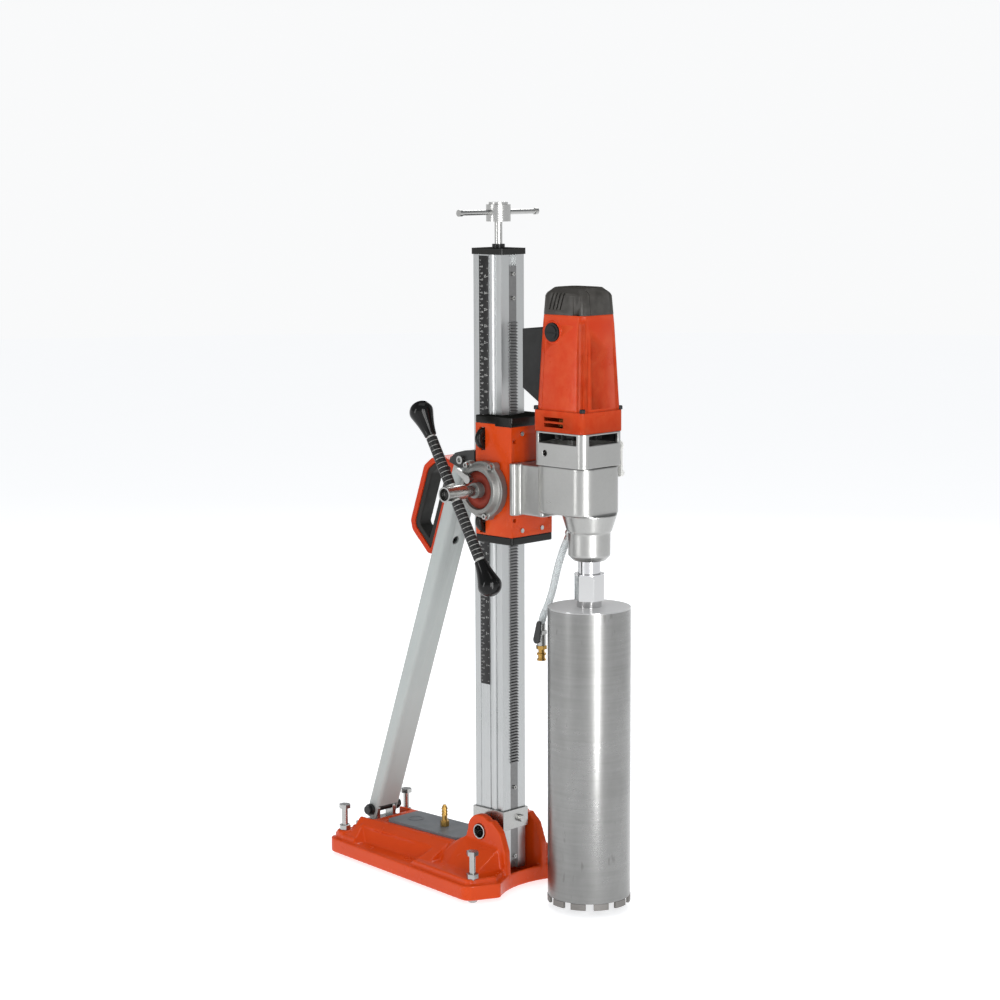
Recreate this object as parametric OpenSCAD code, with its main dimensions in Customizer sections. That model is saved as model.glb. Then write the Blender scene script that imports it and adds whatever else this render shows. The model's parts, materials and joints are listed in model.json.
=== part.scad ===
// Core drill rig on a tilting column: base, braced column, geared carriage,
// electric drill with hollow spindle, and a wet core bit.
// +Z is up, the levelling screws stand on Z = 0 under the column axis,
// -Y is the drilling side and -X is the crank side.  Millimetres.

/* [Core bit] */
// Outer diameter of the barrel
bit_d = 127; // [112:1:132]
// Height of the barrel's top disc above the tips of its segments
bit_h = 459; // [300:1:459]
// Wall of the barrel
bit_wall = 3; // [2:0.5:4]
// Number of cutting segments
segment_count = 11; // [8:1:13]
// Height of a cutting segment
segment_h = 10; // [7:1:12]

/* [Column] */
// Width of the column across the crank axis
col_w = 50; // [50:1:50]
// Depth of the column from rack face to back
col_d = 60; // [60:1:60]
// Height of the column's top end
col_top = 998; // [960:1:1020]
// Height of the column's bottom end
col_bottom = 26; // [24:1:30]
// Height of the tilt axis
pivot_z = 91; // [91:1:91]
// Outer diameter of the pivot tube
pivot_d = 24; // [20:0.5:24]

/* [Feed] */
// Height of the crank axis with the bit just above the floor
feed_z = 638.5; // [638.5:0.5:638.5]
// Module of the rack and of its pinion
rack_module = 1.5; // [1.5:0.5:1.5]
// Teeth on the rack pinion
pinion_teeth = 17; // [17:1:17]
// Teeth on the crank gear
crank_teeth = 18; // [18:1:18]
// Teeth on the pinion shaft's large gear
feed_teeth = 36; // [36:1:36]
// Diameter of the guide rollers
roller_d = 33; // [30:1:34]
// Angle of the crank bar from upright
crank_angle = 30; // [0:5:60]

/* [Drill] */
// Distance from column axis to spindle axis
spindle_y = 190; // [190:1:190]
// Distance from column axis to motor axis
motor_y = 167; // [167:1:167]
// Half width of the motor collar
collar_w = 45; // [45:1:46]
// Diameter of the gear case nose
nose_d = 64; // [62:1:66]

/* [Base] */
// Underside of the base above the floor
base_under = 5; // [4:0.5:6]
// Half spread of the front levelling screws
front_screw_x = 111; // [108:1:112]
// Half spread of the rear levelling screws
rear_screw_x = 70; // [68:1:72]
// Diameter of the levelling screws
screw_d = 10; // [8:1:10]

/* [Brace] */
// Lean of the brace from upright
brace_lean = 19.35; // [19:0.05:20]
// Width of the brace tube
brace_w = 50; // [46:1:50]
// Depth of the brace tube
brace_t = 25; // [22:1:26]

/* [Hidden] */
$fn = 48;
fit = 0.05;
gap = 0.3;
gear_play = 0.22;

col_x = col_w / 2;
col_y = col_d / 2;

// feed: the rack's pitch line stands proud of the column face
rack_pitch = PI * rack_module;
rack_w = 15.6;
rack_depth = 6.9;
rack_line_y = -col_y - 1.9;
rack_low = 197;
rack_high = 897;
// screws that hold the rack, and the bolt through the foot
rail_screw_z = [47.5, 159, 931, 968];
foot_bolt_x = 9.5;
foot_x = 28;
foot_front = -33.2;
foot_bolt_z = 108;
pinion_r = pinion_teeth * rack_module / 2;
pinion_y = rack_line_y - pinion_r;
crank_y = pinion_y + (crank_teeth + feed_teeth) / 2;

// carriage shell
car_x = 45;
car_front = -70;
car_back = 7;
car_wall = 6;
car_low = feed_z - 84;
car_high = feed_z + 113.5;
shell_low = car_low + 12;
shell_high = car_high - 12;
roller_x = col_x + roller_d / 2 + gap / 2;
roller_y = -7.5;
roller_w = 11;
axle_d = 5;
roller_up = feed_z + 77.5;
roller_down = feed_z - 51.5;

// drill
plate_y = -72;
arm_y = -84;
case_top = feed_z + 46;
head_top = feed_z + 98.5;
collar_top = feed_z + 131;
shell_top = feed_z + 274.2;
cap_top = feed_z + 315;
motor_back = -116;
motor_front = -217.5;
nose_low = feed_z - 97.5;
case_low = feed_z - 26.5;
bit_low = feed_z - 627.5;
bit_top = bit_low + bit_h;

// drill gear train
motor_module = 1.25;
motor_teeth = 10;
lay_teeth = 26;
lay_module = 1.5;
lay_pinion_teeth = 12;
spindle_teeth = 34;
gear_1 = (motor_teeth + lay_teeth) * motor_module / 2;
gear_2 = (lay_pinion_teeth + spindle_teeth) * lay_module / 2;
axis_gap = spindle_y - motor_y;
lay_rise = (gear_2 * gear_2 - gear_1 * gear_1 - axis_gap * axis_gap) / (2 * axis_gap);
lay_x = sqrt(gear_1 * gear_1 - lay_rise * lay_rise);
lay_y = -motor_y + lay_rise;
turn_1 = atan2(lay_rise, lay_x);
turn_2 = atan2(-spindle_y - lay_y, -lay_x);

// brace foot pin
brace_y = 276;
brace_z = 71;
brace_pin_d = 12;
brace_len = 632;
fork_y = 50;
fork_z = 677;
// open seat of the slider's hook
hook_r = 5.5;
hook_angle = 21;

// base
deck_z = 62;
land_front = 38;
land_rear = 43;
front_screw_y = -47;
rear_screw_y = 293;
bite_y = -193;
bite_r = 141;
ear_in = 35;
ear_out = 48;

// jack
cap_h = 9.4;
jack_z = 1048;
jack_d = 12;
hub_d = 38;

// water hose: centre line in the plane X = 0, as [Y, Z]
hose_route = [[-145, 568], [-137, 553], [-129, 534], [-122.5, 515], [-117, 496],
              [-111, 478], [-103, 460], [-95, 445], [-90, 430]];
hose_d = 11.5;
hose_sides = 10;
inlet_lean = 90 + atan2(hose_route[1][1] - hose_route[0][1], hose_route[1][0] - hose_route[0][0]);
valve_z = 430;
valve_y = -90;

// ---------------------------------------------------------------- helpers

module box(x0, x1, y0, y1, z0, z1)
    translate([x0, y0, z0]) cube([x1 - x0, y1 - y0, z1 - z0]);

module rod_x(x0, x1, d, y = 0, z = 0)
    translate([x0, y, z]) rotate([0, 90, 0]) cylinder(d = d, h = x1 - x0);

module rod_y(y0, y1, d, x = 0, z = 0)
    translate([x, y0, z]) rotate([-90, 0, 0]) cylinder(d = d, h = y1 - y0);

module rod_z(z0, z1, d, x = 0, y = 0)
    translate([x, y, z0]) cylinder(d = d, h = z1 - z0);

// outline drawn as [Y, Z], extruded along X
module side_plate(x0, x1)
    translate([x0, 0, 0]) rotate([90, 0, 90]) linear_extrude(x1 - x0) children();

// upright block with rounded vertical edges
module slab(x0, x1, y0, y1, z0, z1, r)
    translate([0, 0, z0]) linear_extrude(z1 - z0)
        translate([(x0 + x1) / 2, (y0 + y1) / 2])
            offset(r) square([x1 - x0 - 2 * r, y1 - y0 - 2 * r], center = true);

module hex_bar(z0, z1, across)
    translate([0, 0, z0]) cylinder(d = across / cos(30), h = z1 - z0, $fn = 6);

module both_sides() {
    children();
    mirror([1, 0, 0]) children();
}

// involute gear geometry, teeth trimmed for play and tip clearance
function involute(a) = tan(a) * 180 / PI - a;
function half_tooth(n, m, r) =
    let(base = n * m / 2 * cos(20))
    90 / n - gear_play / (n * m) * 180 / PI + involute(20) - involute(acos(min(1, base / r)));
function tooth_point(n, m, r, middle, side) =
    let(a = middle + side * half_tooth(n, m, max(r, n * m / 2 * cos(20))))
    [r * cos(a), r * sin(a)];

module gear_outline(n, m, turn) {
    pitch = n * m / 2;
    radii = [pitch - 1.2 * m, pitch, pitch + 0.8 * m];
    polygon([for (i = [0:n - 1])
                for (k = [0:5])
                    tooth_point(n, m, radii[k < 3 ? k : 5 - k], turn + i * 360 / n,
                                k < 3 ? -1 : 1)]);
}

// gear on an upright axis
module gear_z(n, m, z0, z1, turn)
    translate([0, 0, z0]) linear_extrude(z1 - z0) gear_outline(n, m, turn);

// gear on an axis along X
module gear_x(n, m, x0, x1, turn, y)
    side_plate(x0, x1) translate([y, feed_z]) gear_outline(n, m, turn);

// ---------------------------------------------------------------- base

module screw_places() {
    for (sx = [-1, 1]) {
        translate([sx * front_screw_x, front_screw_y, 0]) children();
        translate([sx * rear_screw_x, rear_screw_y, 0]) children();
    }
}

module base_outline() {
    difference() {
        offset(18) offset(-18)
            polygon([[-131, -52], [-80, -76], [80, -76], [131, -52], [86, 318], [-86, 318]]);
        translate([0, bite_y]) circle(bite_r, $fn = 96);
    }
}

module ear_profile()
    difference() {
        union() {
            polygon([[-58, 20], [-55, 66], [-44, 96], [-26, 112], [22, 108], [34, 68], [46, 42], [46, 20]]);
            translate([0, pivot_z]) circle(27);
        }
        translate([0, pivot_z]) circle(d = pivot_d + 2 * fit);
    }

module base_casting() color("orangered") {
    difference() {
        union() {
            translate([0, 0, base_under]) linear_extrude(29 - base_under) base_outline();
            translate([0, 0, 29]) linear_extrude(land_front - 29) offset(-7) base_outline();
            rotate([90, 0, 180]) translate([0, 0, 44]) linear_extrude(238)
                polygon([[-70, land_front - 2], [-46, deck_z], [46, deck_z], [70, land_front - 2]]);
            box(-46, 46, 280, 302, land_front - 2, 44);
            for (sx = [-1, 1])
                translate([sx * rear_screw_x, rear_screw_y, land_front - 2])
                    cylinder(d = 26, h = land_rear - land_front + 2);
        }
        // hollow underside
        difference() {
            translate([0, 0, base_under - 1]) linear_extrude(20) offset(-10) base_outline();
            box(-46, 46, -80, 52, 0, 30);
            screw_places() cylinder(d = 30, h = 60);
        }
        box(-40, 40, 60, 260, 20, deck_z - 8);
        // pocket for the column foot
        box(-ear_in, ear_in, -49, 48, 16, 120);
        box(-22, 22, -80, -40, 29, 120);
        screw_places() cylinder(d = screw_d + 2 * fit, h = 80);
        // brace bracket seat and plate seat
        box(-42.1, 42.1, 252, 320, 44, 90);
        box(-36.1, 36.1, 60, 228, 60, 90);
        rod_z(50, 80, 8.1, 0, 128);
    }
    both_sides() side_plate(ear_in, ear_out) ear_profile();
}

module cover_plate() color("gray") {
    difference() {
        slab(-36, 36, 60.1, 227.9, 60, 65.6, 8);
        rod_z(50, 80, 8.1, 0, 128);
    }
    translate([0, 196, 65.6]) difference() {
        cylinder(d = 26, h = 0.8);
        translate([0, 0, -1]) cylinder(d = 21, h = 3);
    }
}

module vacuum_nipple() color("goldenrod") translate([0, 128, 0]) difference() {
    union() {
        rod_z(54.5, 66, 8);
        hex_bar(65.7, 75, 13);
        rod_z(75, 84, 9);
        for (z = [84, 89, 94])
            translate([0, 0, z]) cylinder(d1 = 11, d2 = 7, h = 5);
        rod_z(99, 101, 6);
    }
    rod_z(50, 110, 3.5);
}

module pivot_tube() color("silver") difference() {
    rod_x(-50, 50, pivot_d, 0, pivot_z);
    rod_x(-60, 60, pivot_d - 4, 0, pivot_z);
}

module nut(z0)
    difference() {
        hex_bar(z0, z0 + 8, 17);
        rod_z(z0 - 1, z0 + 9, screw_d + 2 * fit);
    }

module lock_nuts() color("silver") {
    for (sx = [-1, 1]) {
        translate([sx * front_screw_x, front_screw_y, 0]) nut(land_front);
        translate([sx * rear_screw_x, rear_screw_y, 0]) nut(land_rear);
    }
}

// screw tip stands on the floor
module levelling_screw(x, y, head_z) color("silver") translate([x, y, 0]) {
    cylinder(d1 = 12, d2 = 15, h = 1.5);
    rod_z(1.5, 4, 15);
    rod_z(4, head_z, screw_d);
    hex_bar(head_z, head_z + 6.4, 17);
}

module brace_bracket() color("silver") {
    box(-40, 40, 254, 300, 44, 49.5);
    both_sides() side_plate(14, 21) difference() {
        union() {
            translate([brace_y, brace_z]) circle(9.2);
            translate([brace_y - 9.2, 49]) square([18.4, brace_z - 49]);
        }
        translate([brace_y, brace_z]) circle(d = brace_pin_d + 2 * fit);
    }
}

module brace_pin() color("dimgray") {
    rod_x(-33, 33, brace_pin_d, brace_y, brace_z);
    both_sides() rod_x(26, 31, 19, brace_y, brace_z);
    both_sides() rod_x(31, 36, 14, brace_y, brace_z);
}

// ---------------------------------------------------------------- column

module column_profile()
    difference() {
        union() {
            difference() {
                square([col_w, col_d], center = true);
                for (sx = [-1, 1]) {
                    // bed of the roller rail, groove in front of it, ruler bed
                    translate([sx * col_x, -8.25]) square([4, 12.5], center = true);
                    translate([sx * col_x, -19.75]) square([6, 10.5], center = true);
                    translate([sx * col_x, 8]) square([1.2, 20.2], center = true);
                }
            }
            for (sx = [-1, 1])
                intersection() {
                    translate([sx * (col_x - 14), -8.25]) circle(14);
                    translate([sx * (col_x - 2), -8.25]) square([4, 12.5], center = true);
                }
        }
        square([36, 26], center = true);
        translate([0, -col_y]) square([16, 14], center = true);
        translate([0, col_y]) square([12, 10], center = true);
        translate([0, col_y - 8.5]) square([22, 7], center = true);
    }

module column() color("lightgray") difference() {
    translate([0, 0, col_bottom]) linear_extrude(col_top - col_bottom) column_profile();
    rod_x(-40, 40, pivot_d + 2 * fit, 0, pivot_z);
    rod_y(-40, -20, 6.6, foot_bolt_x, foot_bolt_z);
}

function rack_tooth(z) = [
    [-col_y, z - 1.7], [rack_line_y, z - 1.07], [rack_line_y - 1.2, z - 0.66],
    [rack_line_y - 1.2, z + 0.66], [rack_line_y, z + 1.07], [-col_y, z + 1.7]];

module rack() color("dimgray") difference() {
    side_plate(-rack_w / 2, rack_w / 2)
        polygon([[-col_y + rack_depth, col_top - 18], [-col_y + rack_depth, 42], [-col_y, 42],
                 for (i = [ceil((rack_low - feed_z) / rack_pitch):floor((rack_high - feed_z) / rack_pitch)])
                     each rack_tooth(feed_z + i * rack_pitch),
                 [-col_y, col_top - 18]]);
    for (z = rail_screw_z)
        rod_y(-40, -20, 6.2, 0, z);
    rod_y(-40, -20, 7, foot_bolt_x, foot_bolt_z);
}

module column_screws() color("silver") {
    for (z = rail_screw_z)
        difference() {
            rod_y(-33, -23.2, 6, 0, z);
            rod_y(-34, -31, 3.4, 0, z);
        }
    translate([foot_bolt_x, foot_front, foot_bolt_z]) rotate([90, 0, 0]) {
        cylinder(d = 12, h = 1);
        hex_bar(1, 7, 10);
        translate([0, 0, -9]) cylinder(d = 6.5, h = 9);
    }
}

module top_cap() color("black") {
    difference() {
        slab(-27.5, 27.5, -33.5, 33.5, col_top, col_top + cap_h, 4);
        rod_z(col_top - 1, col_top + 20, jack_d + 2 * fit);
    }
    difference() {
        rod_z(col_top + cap_h, col_top + cap_h + 6, 20);
        rod_z(col_top, col_top + 20, jack_d + 2 * fit);
    }
}

module column_foot() color("silver") difference() {
    union() {
        both_sides() side_plate(col_x + 0.05, foot_x)
            polygon([[-8, 40], [34, 40], [34, 124], [foot_front, 124], [foot_front, 93], [-8, 93]]);
        box(-foot_x, foot_x, col_y + 0.05, 34, 40, 124);
        box(-foot_x, foot_x, foot_front, -col_y - 0.05, 93, 124);
    }
    rod_x(-40, 40, pivot_d + 2 * fit, 0, pivot_z);
    rod_y(-40, -20, 6.6, foot_bolt_x, foot_bolt_z);
}

module jack_pad() color("silver") {
    rod_z(jack_z + 26.2, jack_z + 29.6, 30);
    rod_z(jack_z + 20, jack_z + 26.2, 8);
}

module jack_screw() color("silver") difference() {
    union() {
        rod_z(905, jack_z, jack_d);
        rod_z(jack_z, jack_z + 26, hub_d);
    }
    rod_z(jack_z + 19.5, jack_z + 40, 8 + 2 * fit);
    rod_x(-30, 30, 8 + 2 * fit, 0, jack_z + 14);
}

module tommy_bar() color("silver") {
    rod_x(-82, 82, 8, 0, jack_z + 14);
    both_sides() rod_x(80, 86, 10.5, 0, jack_z + 14);
}

// ---------------------------------------------------------------- brace

// frame of the brace: Z along the tube from its foot pin, Y towards the rear
module on_brace()
    translate([0, brace_y, brace_z]) rotate([brace_lean, 0, 0]) children();

module brace_tube() color("silver") on_brace() difference() {
    slab(-brace_w / 2, brace_w / 2, -brace_t / 2, brace_t / 2, -15, brace_len, 3);
    box(-brace_w / 2 + 3, brace_w / 2 - 3, -brace_t / 2 + 3, brace_t / 2 - 3, -20, brace_len + 5);
    box(-brace_w / 2 + 3, brace_w / 2 - 3, -20, 20, -20, 11);
    rod_x(-40, 40, brace_pin_d + 2 * fit);
    rod_y(-20, 0, 14, 0, 502);
    for (z = [482, 604])
        rod_y(0, 20, 6.2, 0, z);
}

module brace_head() color("dimgray") {
    on_brace() {
        box(-21.9, 21.9, -9.4, 9.4, brace_len - 26, brace_len);
        difference() {
            box(-33, 33, -12.5, 12.5, brace_len, brace_len + 8);
            // room for the hook of the slider
            box(-12.5, 12.5, -13, 6, brace_len + 0.1, brace_len + 9);
        }
    }
    difference() {
        both_sides() side_plate(26.5, 33)
            polygon([[22, 668], [fork_y + 5, 663.5], [78, 671], [77, 677], [64, 687], [44, 692], [22, 694]]);
        rod_x(-40, 40, 8 + 2 * fit, fork_y, fork_z);
        on_brace() box(-40, 40, -13, 14, brace_len - 30, brace_len + 7);
    }
}

module fork_bolt() color("silver") {
    rod_x(-34.5, 34.5, 8, fork_y, fork_z);
    difference() {
        rod_x(-39, -33.1, 13, fork_y, fork_z);
        rod_x(-40, -36, 7, fork_y, fork_z);
    }
    rod_x(33.1, 38, 13, fork_y, fork_z);
}

// tee block in the column's rear slot, with a hook that holds the fork bolt
module slot_slider() color("silver") {
    box(-10.8, 10.8, col_y - 11.8, col_y - 5.2, fork_z - 20, fork_z + 20);
    box(-5.8, 5.8, col_y - 6, col_y + 0.5, fork_z - 20, fork_z + 20);
    box(-18, 18, col_y + 0.1, col_y + 4.5, fork_z - 20, fork_z + 20);
    side_plate(-11, 11) translate([fork_y, fork_z]) difference() {
        polygon([[-15.6, -12], [-2, -12], [12, -6.5], [14, -1], [11, 12], [-3, 14], [-15.6, 14]]);
        circle(hook_r);
        rotate(hook_angle) translate([0, -hook_r]) square([30, 2 * hook_r]);
    }
}

// outline of the handle in brace coordinates, as [distance behind the tube axis, height]
module handle_outline()
    offset(12) offset(-12)
        polygon([[13, 462], [26, 462], [72, 484], [80, 497], [80, 594], [68, 612], [48, 625], [13, 625]]);

module carry_handle() color("orangered") on_brace() difference() {
    side_plate(-15, 15) difference() {
        handle_outline();
        offset(-9.5) handle_outline();
    }
    for (z = [482, 604])
        rod_y(10, 24, 5.2, 0, z);
}

module handle_grip() color("black") on_brace()
    side_plate(-13, 13) difference() {
        offset(-9.6) handle_outline();
        offset(-19) handle_outline();
    }

// ---------------------------------------------------------------- carriage

module carriage_outline(inset)
    difference() {
        translate([-car_x, car_front]) square([2 * car_x, car_back - car_front]);
        translate([-car_x + inset, car_front + inset])
            square([2 * (car_x - inset), car_back - car_front]);
    }

module roller_window(x, z)
    translate([x, roller_y, z]) cube([24, roller_w + 1.4, roller_d + 3], center = true);

module carriage_shell() color("orangered") difference() {
    union() {
        translate([0, 0, shell_low]) linear_extrude(shell_high - shell_low)
            carriage_outline(car_wall);
        for (sx = [-1, 1])
            for (z = [roller_up, roller_down])
                translate([sx * 41, roller_y, z]) cube([8, 27, 30], center = true);
    }
    for (sx = [-1, 1])
        for (z = [roller_up, roller_down]) {
            roller_window(sx * 42, z);
            rod_y(-22, 6, axle_d + 2 * fit, sx * roller_x, z);
        }
    rod_x(-50, 50, 10 + 2 * fit, pinion_y, feed_z);
    rod_x(-50, 0, 14 + 2 * fit, crank_y, feed_z);
    for (sx = [-1, 1])
        for (z = [feed_z - 45.5, feed_z + 76.4])
            rod_y(-75, -60, 7, sx * 38.5, z);
    for (sx = [-1, 1])
        for (z = [feed_z - 62.5, feed_z + 87.5])
            rod_y(-75, -60, 4.1, sx * 22, z);
}

// cover closing the shell's end, open round the column, rack and sliding fork
module end_cover(z0, z1)
    translate([0, 0, z0]) linear_extrude(z1 - z0) difference() {
        translate([0, (car_front + car_back) / 2]) offset(4)
            square([2 * car_x + 2 - 8, car_back - car_front + 2 - 8], center = true);
        translate([-col_x - 0.5, -col_y - 0.5]) square([col_w + 1, 60]);
        translate([-9, -col_y - 4.2]) square([18, 20]);
        translate([-35, -2]) square([70, 20]);
    }

module carriage_top_cover() color("black") {
    end_cover(shell_high + 0.05, car_high);
    difference() {
        box(-car_x - 1, car_x + 1, car_front - 1, -36, shell_high - 3, shell_high + 2);
        box(-car_x - 0.1, car_x + 0.1, car_front - 0.1, 0, shell_high - 10, shell_high + 10);
    }
}

module carriage_bottom_cover() color("black") {
    end_cover(car_low, shell_low - 0.05);
}

// screw places round the crank axis, as [angle, radius]
feed_screws = [[52, 46], [122, 44], [254, 42]];

module at_feed_screws()
    for (s = feed_screws)
        translate([0, crank_y + s[1] * cos(s[0]), feed_z + s[1] * sin(s[0])]) children();

module feed_housing() color("darkgray") difference() {
    union() {
        rod_x(-58, -car_x - 0.05, 88, crank_y, feed_z);
        translate([-58, crank_y, feed_z]) rotate([0, -90, 0]) cylinder(d1 = 80, d2 = 72, h = 10);
        at_feed_screws() rod_x(-60, -47, 13);
        rod_x(-76, -62, 24, crank_y, feed_z);
    }
    difference() {
        rod_x(-70, -62, 60, crank_y, feed_z);
        rod_x(-76, -50, 24, crank_y, feed_z);
    }
    rod_x(-80, -40, 14 + 2 * fit, crank_y, feed_z);
    rod_x(-56, -40, 22, pinion_y, feed_z);
    at_feed_screws() {
        rod_x(-80, -40, 5.1);
        rod_x(-80, -60, 9.5);
    }
    rod_x(-80, -55, 8 + 2 * fit, crank_y + 15, feed_z + 16);
    for (z = [roller_up, roller_down])
        translate([-roller_x, roller_y, z]) rotate([90, 0, 0])
            cylinder(d = roller_d + 1.5, h = roller_w + 1, center = true);
}

module carriage_screws() color("silver") {
    at_feed_screws() difference() {
        union() {
            rod_x(-58, -45.1, 5);
            rod_x(-65, -60, 8.5);
            rod_x(-60, -58, 5);
        }
        rod_x(-66, -62, 4.4);
    }
    for (sx = [-1, 1])
        for (z = [feed_z - 62.5, feed_z + 87.5])
            translate([sx * 22, 0, z]) {
                rod_y(-70, -64.2, 4);
                rod_y(-71.5, -70, 7);
            }
}

module roller(x, z) color("black") {
    rod_y(roller_y - roller_w / 2, roller_y + roller_w / 2, roller_d, x, z);
    rod_y(-20.5, 5.5, axle_d, x, z);
}

module mount_plate() color("gray") {
    box(-36, 36, plate_y, car_front, feed_z - 34, feed_z + 44);
    translate([0, 0, feed_z - 34]) linear_extrude(78)
        polygon([[-20, plate_y], [-24, -79.5], [24, -79.5], [20, plate_y]]);
}

// ---------------------------------------------------------------- drill

module gear_case() color("silver") difference() {
    union() {
        // arm, its flange and the case body
        slab(-54, 54, arm_y, plate_y - 0.1, feed_z - 35.5, feed_z + 45, 4);
        slab(-40, 40, -130, arm_y + 6, feed_z - 34.5, feed_z + 43.5, 5);
        slab(-collar_w, collar_w, -221, -114, case_low, case_top, 24);
        translate([0, -spindle_y, feed_z - 52.5])
            cylinder(d1 = nose_d + 4, d2 = 84, h = 52.5 - 26.5 + 0.1);
        translate([0, -spindle_y, 0]) rod_z(nose_low + 8, feed_z - 52.4, nose_d);
        translate([0, -spindle_y, nose_low]) cylinder(d1 = 48, d2 = nose_d, h = 8.01);
    }
    translate([0, 0, feed_z - 60]) linear_extrude(130)
        polygon([[-20.15, plate_y + 1], [-24.2, -79.65], [24.2, -79.65], [20.15, plate_y + 1]]);
    // gear chamber
    slab(-41.4, 41.4, -217, -118, feed_z - 12, case_top + 1, 21);
    slab(-30, 30, -124, -92, feed_z - 22, feed_z + 34, 4);
    // spindle bore and bearing seats
    translate([0, -spindle_y, 0]) {
        rod_z(nose_low - 1, feed_z, 36);
        rod_z(nose_low + 12, nose_low + 25, 52.1);
        rod_z(feed_z - 40, feed_z - 11, 52.1);
    }
    rod_z(case_low + 4, feed_z - 11, 22.1, lay_x, lay_y);
    rod_x(-50, -30, 9, -139.5, feed_z + 65.8);
    // hose inlet
    translate([0, -spindle_y, feed_z - 60]) rotate([-90, 0, 0]) cylinder(d = 10.1, h = 60);
}

module gear_head() color("silver") difference() {
    slab(-collar_w, collar_w, -219, -114.5, case_top + 0.05, head_top, 12);
    // room for the motor fan and its air windows
    slab(-39, 39, -213, -120, case_top + 16, head_top + 1, 8);
    rod_z(case_top - 1, case_top + 20, 22.1, 0, -motor_y);
    rod_z(case_top - 1, case_top + 8, 22.1, lay_x, lay_y);
    for (y = [-196, -163])
        box(-60, 60, y, y + 29, head_top - 17, head_top - 3);
    for (x = [-29, 3])
        box(x, x + 26, -230, -100, head_top - 17, head_top - 3);
    rod_x(-50, -30, 9, -139.5, feed_z + 65.8);
    rod_x(38, 60, 10 + 2 * fit, -205, feed_z + 74);
}

module motor_housing() color("orangered") difference() {
    union() {
        slab(-collar_w - 0.5, collar_w + 0.5, motor_front, motor_back, head_top + 0.05, collar_top, 7);
        hull() {
            slab(-41, 41, -213, -121, collar_top - 1, collar_top, 14);
            slab(-34.4, 34.4, -206.7, -127.6, shell_top - 1, shell_top, 14);
        }
    }
    hull() {
        slab(-37, 37, -209, -125, collar_top - 1, collar_top, 11);
        slab(-31, 31, -203.5, -130.8, shell_top, shell_top + 1, 11);
    }
    slab(-41, 41, -213, -120.5, head_top - 1, collar_top - 3, 8);
    rod_z(collar_top - 8, collar_top + 4, 60, 0, -motor_y);
    for (z = [head_top + 7, head_top + 16])
        box(-60, 60, -178, -139, z, z + 6);
    rod_x(-60, 0, 18.1, -150.5, feed_z + 248);
    rod_x(0, 60, 18.1, -183.5, feed_z + 248);
}

module motor_cap() color("dimgray") difference() {
    hull() {
        slab(-34, 34, -206, -128, shell_top + 0.05, shell_top + 1, 14);
        slab(-31, 31, -203, -131, cap_top - 10, cap_top - 9, 14);
        slab(-23, 23, -195, -139, cap_top - 1, cap_top, 14);
    }
    hull() {
        slab(-31, 31, -203, -131, shell_top - 1, shell_top + 1, 11);
        slab(-26, 26, -198, -136, cap_top - 6, cap_top - 4, 11);
    }
    for (i = [0:3])
        box(-60, -20, -150 - 8 * i, -146.5 - 8 * i, shell_top + 9, cap_top - 13);
}

module brush_cap() {
    rod_x(-41.5, -37.2, 28);
    rod_x(-37.2, -25, 18);
    difference() {
        rod_x(-43, -41.5, 20);
        box(-44, -42, -11, 11, -1.2, 1.2);
    }
}

module brush_caps() color("black") {
    translate([0, -150.5, feed_z + 248]) brush_cap();
    translate([0, -183.5, feed_z + 248]) rotate([0, 0, 180]) brush_cap();
}

module stator() color("dimgray") translate([0, -motor_y, 0]) difference() {
    rod_z(feed_z + 145, feed_z + 215, 66);
    rod_z(feed_z + 140, feed_z + 220, 46);
}

module electronics_box() color("black") difference() {
    union() {
        side_plate(-30, 30)
            polygon([[-80, feed_z + 160], [-112, feed_z + 140.5], [-121.4, feed_z + 140.5],
                     [-126.3, feed_z + 252], [-80, feed_z + 250]]);
        // cable inlet collar
        rod_x(30, 40, 20, -98, feed_z + 172);
    }
    rod_x(26, 50, 9, -98, feed_z + 172);
    box(22, 40, -112, -91, feed_z + 198, feed_z + 232);
}

module power_switch() color("red")
    translate([0, -111.7, feed_z + 215]) rotate([-90, 0, 0]) linear_extrude(20.4)
        polygon([[24.5, -2.5], [31.5, -15.5], [33.5, -15.5], [30.2, 0], [31.3, 15.5], [30.2, 15.5], [24.5, 2.5]]);

module bearing(z0, z1, d_in, d_out)
    difference() {
        rod_z(z0, z1, d_out);
        rod_z(z0 - 1, z1 + 1, d_in + 2 * fit);
    }

module bearings() color("silver") {
    translate([0, -spindle_y, 0]) {
        bearing(nose_low + 12, nose_low + 25, 30, 52);
        bearing(feed_z - 39, feed_z - 24, 30, 52);
    }
    translate([0, -motor_y, 0]) {
        bearing(case_top + 1, case_top + 8, 8, 22);
        bearing(shell_top - 12, shell_top - 5, 8, 22);
    }
    translate([lay_x, lay_y, 0]) {
        bearing(case_low + 4.2, case_low + 11.2, 8, 22);
        bearing(case_top + 0.5, case_top + 7.5, 8, 22);
    }
}

module spindle() color("silver") translate([0, -spindle_y, 0]) difference() {
    union() {
        rod_z(nose_low - 20, nose_low + 10, 34);
        rod_z(nose_low - 22, nose_low - 20, 46);
        rod_z(nose_low - 54, nose_low - 20, 31);
        rod_z(nose_low + 10, feed_z - 10, 30);
        gear_z(spindle_teeth, lay_module, feed_z - 8, feed_z + 8, turn_2 + 180 + 180 / spindle_teeth);
        rod_z(feed_z - 10, feed_z + 20, 24);
    }
    rod_z(nose_low - 60, feed_z - 50, 8);
}

module layshaft() color("silver") translate([lay_x, lay_y, 0]) {
    rod_z(case_low + 5, case_top + 8, 8);
    gear_z(lay_pinion_teeth, lay_module, feed_z - 9, feed_z + 10, turn_2);
    gear_z(lay_teeth, motor_module, feed_z + 26, feed_z + 40, turn_1 + 180 + 180 / lay_teeth);
    rod_z(feed_z + 10, feed_z + 26, 12);
}

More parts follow.
